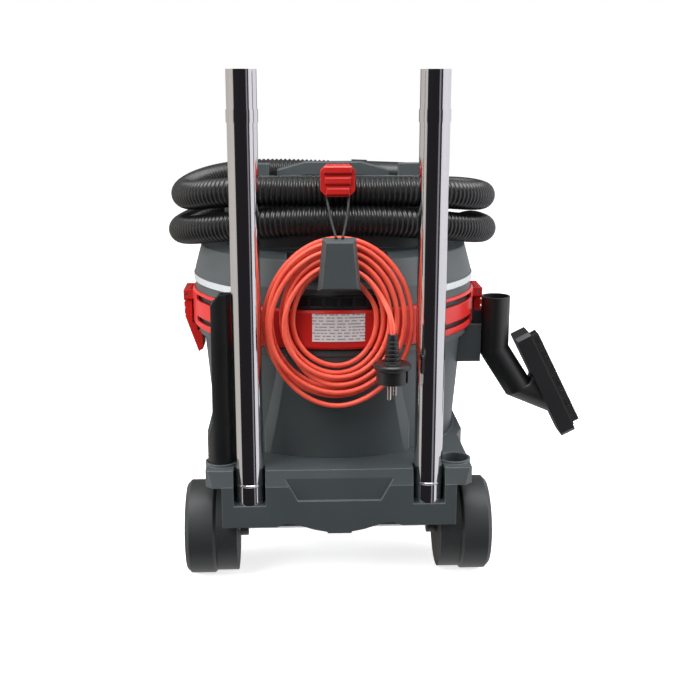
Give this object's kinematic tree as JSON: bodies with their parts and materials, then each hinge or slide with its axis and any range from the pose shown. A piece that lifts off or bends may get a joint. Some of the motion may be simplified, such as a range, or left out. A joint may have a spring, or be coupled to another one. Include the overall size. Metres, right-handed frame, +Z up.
{
  "type": "shop vacuum",
  "caption": "Wheeled canister shop vacuum with a red head ring, hose wound round the head, coiled red mains lead, stored chrome tubes and clip-on nozzles.",
  "frame": {"origin": "middle of the machine's footprint on the floor, mains lead and hose left out", "axes": "+Z up, +Y towards the machine's front (control panel), +X to the right seen from behind"},
  "size_m": [0.5398, 0.4791, 0.6124],
  "materials": {
    "slate_plastic": "fine grained satin",
    "red_plastic": "semi-gloss",
    "wheel_plastic": "satin",
    "castor_rubber": "matt",
    "silver_plastic": "satin silver",
    "black_plastic": "satin",
    "plate_paper": "satin",
    "cord_rubber": "satin",
    "hose_plastic": "gloss",
    "strap_rubber": "matt",
    "chrome_tube": "polished",
    "steel": "turned",
    "pin_metal": "bright",
    "filter_paper": "pleated",
    "float_plastic": "matt",
    "bristle_nylon": "matt"
  },
  "bodies": {
    "base": {"bearing_lower": "steel", "bearing_upper": "steel", "carry_handle": "slate_plastic", "chassis": "slate_plastic", "control_panel": "black_plastic", "cord_gland": "black_plastic", "cord_hook": "slate_plastic", "elastic_strap": "strap_rubber", "exhaust_grille": "black_plastic", "fan_case": "black_plastic", "filter_cage": "black_plastic", "filter_cap": "black_plastic", "filter_cartridge": "filter_paper", "flap_pin": "steel", "float_guide": "black_plastic", "head_cover": "slate_plastic", "head_ring": "red_plastic", "hose_cuff": "black_plastic", "hose_elbow": "black_plastic", "latch_pin_left": "steel", "latch_pin_right": "steel", "motor_can": "steel", "nozzle_holder": "slate_plastic", "plug_pins": "pin_metal", "power_cord": "cord_rubber", "power_plug": "black_plastic", "rating_plate": "plate_paper", "rear_axle": "steel", "silver_trim": "silver_plastic", "strap_clip": "red_plastic", "suction_hose": "hose_plastic", "suction_inlet": "black_plastic", "tank": "slate_plastic", "tank_bowl": "slate_plastic", "tank_gasket": "strap_rubber", "tool_socket": "black_plastic"},
    "rear_wheel_right": {"rear_wheel_right": "wheel_plastic", "hub_cap_right": "wheel_plastic"},
    "rear_wheel_left": {"rear_wheel_left": "wheel_plastic", "hub_cap_left": "wheel_plastic"},
    "castor_right": {"castor_fork_right": "slate_plastic", "castor_axle_right": "steel"},
    "castor_left": {"castor_fork_left": "slate_plastic", "castor_axle_left": "steel"},
    "castor_roll_right": {"castor_wheel_right": "castor_rubber"},
    "castor_roll_left": {"castor_wheel_left": "castor_rubber"},
    "latch_right": {"latch_right": "red_plastic"},
    "latch_left": {"latch_left": "red_plastic"},
    "power_knob": {"power_knob": "black_plastic"},
    "suction_dial": {"suction_dial": "black_plastic"},
    "socket_flap": {"socket_flap": "black_plastic"},
    "filter_button": {"filter_button": "red_plastic"},
    "rotor": {"armature": "steel", "impeller": "black_plastic"},
    "float_valve": {"float_valve": "float_plastic"},
    "tube_right": {"tube_right": "chrome_tube"},
    "tube_left": {"tube_left": "chrome_tube"},
    "crevice_nozzle": {"crevice_nozzle": "black_plastic"},
    "brush_nozzle": {"brush_nozzle": "black_plastic", "brush_bristles": "bristle_nylon"}
  },
  "joints": [
    {"name": "rear_wheel_right_roll", "type": "hinge", "parent": "base", "child": "rear_wheel_right", "pos_m": [0.08582, -0.1414, 0.058], "axis": [1, 0, 0], "continuous": true},
    {"name": "rear_wheel_left_roll", "type": "hinge", "parent": "base", "child": "rear_wheel_left", "pos_m": [-0.21418, -0.1414, 0.058], "axis": [1, 0, 0], "continuous": true},
    {"name": "castor_right_swivel", "type": "hinge", "parent": "base", "child": "castor_right", "pos_m": [0.03982, 0.1346, 0.025], "axis": [0, 0, 1], "continuous": true},
    {"name": "castor_left_swivel", "type": "hinge", "parent": "base", "child": "castor_left", "pos_m": [-0.16818, 0.1346, 0.025], "axis": [0, 0, 1], "continuous": true},
    {"name": "castor_right_roll", "type": "hinge", "parent": "castor_right", "child": "castor_roll_right", "pos_m": [0.03982, 0.1186, 0.025], "axis": [1, 0, 0], "continuous": true},
    {"name": "castor_left_roll", "type": "hinge", "parent": "castor_left", "child": "castor_roll_left", "pos_m": [-0.16818, 0.1186, 0.025], "axis": [1, 0, 0], "continuous": true},
    {"name": "latch_right_pivot", "type": "hinge", "parent": "base", "child": "latch_right", "pos_m": [0.12732, 0.0046, 0.33], "axis": [0, -1, 0], "range_deg": [0, 70]},
    {"name": "latch_left_pivot", "type": "hinge", "parent": "base", "child": "latch_left", "pos_m": [-0.25568, 0.0046, 0.33], "axis": [0, 1, 0], "range_deg": [0, 70]},
    {"name": "power_knob_turn", "type": "hinge", "parent": "base", "child": "power_knob", "pos_m": [-0.11618, 0.1926, 0.3705], "axis": [0, 1, 0], "range_deg": [0, 90]},
    {"name": "suction_dial_turn", "type": "hinge", "parent": "base", "child": "suction_dial", "pos_m": [-0.01018, 0.1926, 0.3705], "axis": [0, 1, 0], "range_deg": [-135, 135]},
    {"name": "socket_flap_pivot", "type": "hinge", "parent": "base", "child": "socket_flap", "pos_m": [-0.06418, 0.1952, 0.392], "axis": [1, 0, 0], "range_deg": [0, 100], "stiffness_Nm_per_rad": 0.02},
    {"name": "filter_button_push", "type": "slide", "parent": "base", "child": "filter_button", "axis": [0, 0, -1], "range_m": [0, 0.008], "stiffness_N_per_m": 600, "springref_m": -0.002},
    {"name": "rotor_spin", "type": "hinge", "parent": "base", "child": "rotor", "pos_m": [-0.06418, 0.0046, 0.336], "axis": [0, 0, 1], "continuous": true},
    {"name": "float_rise", "type": "slide", "parent": "base", "child": "float_valve", "axis": [0, 0, 1], "range_m": [0, 0.03]},
    {"name": "tube_right_lift", "type": "slide", "parent": "base", "child": "tube_right", "axis": [0, 0, 1], "range_m": [0, 0.3]},
    {"name": "tube_left_lift", "type": "slide", "parent": "base", "child": "tube_left", "axis": [0, 0, 1], "range_m": [0, 0.3]},
    {"name": "crevice_nozzle_lift", "type": "slide", "parent": "base", "child": "crevice_nozzle", "axis": [0, 0, 1], "range_m": [0, 0.12]},
    {"name": "brush_nozzle_lift", "type": "slide", "parent": "base", "child": "brush_nozzle", "axis": [0, 0, 1], "range_m": [0, 0.045]}
  ]
}
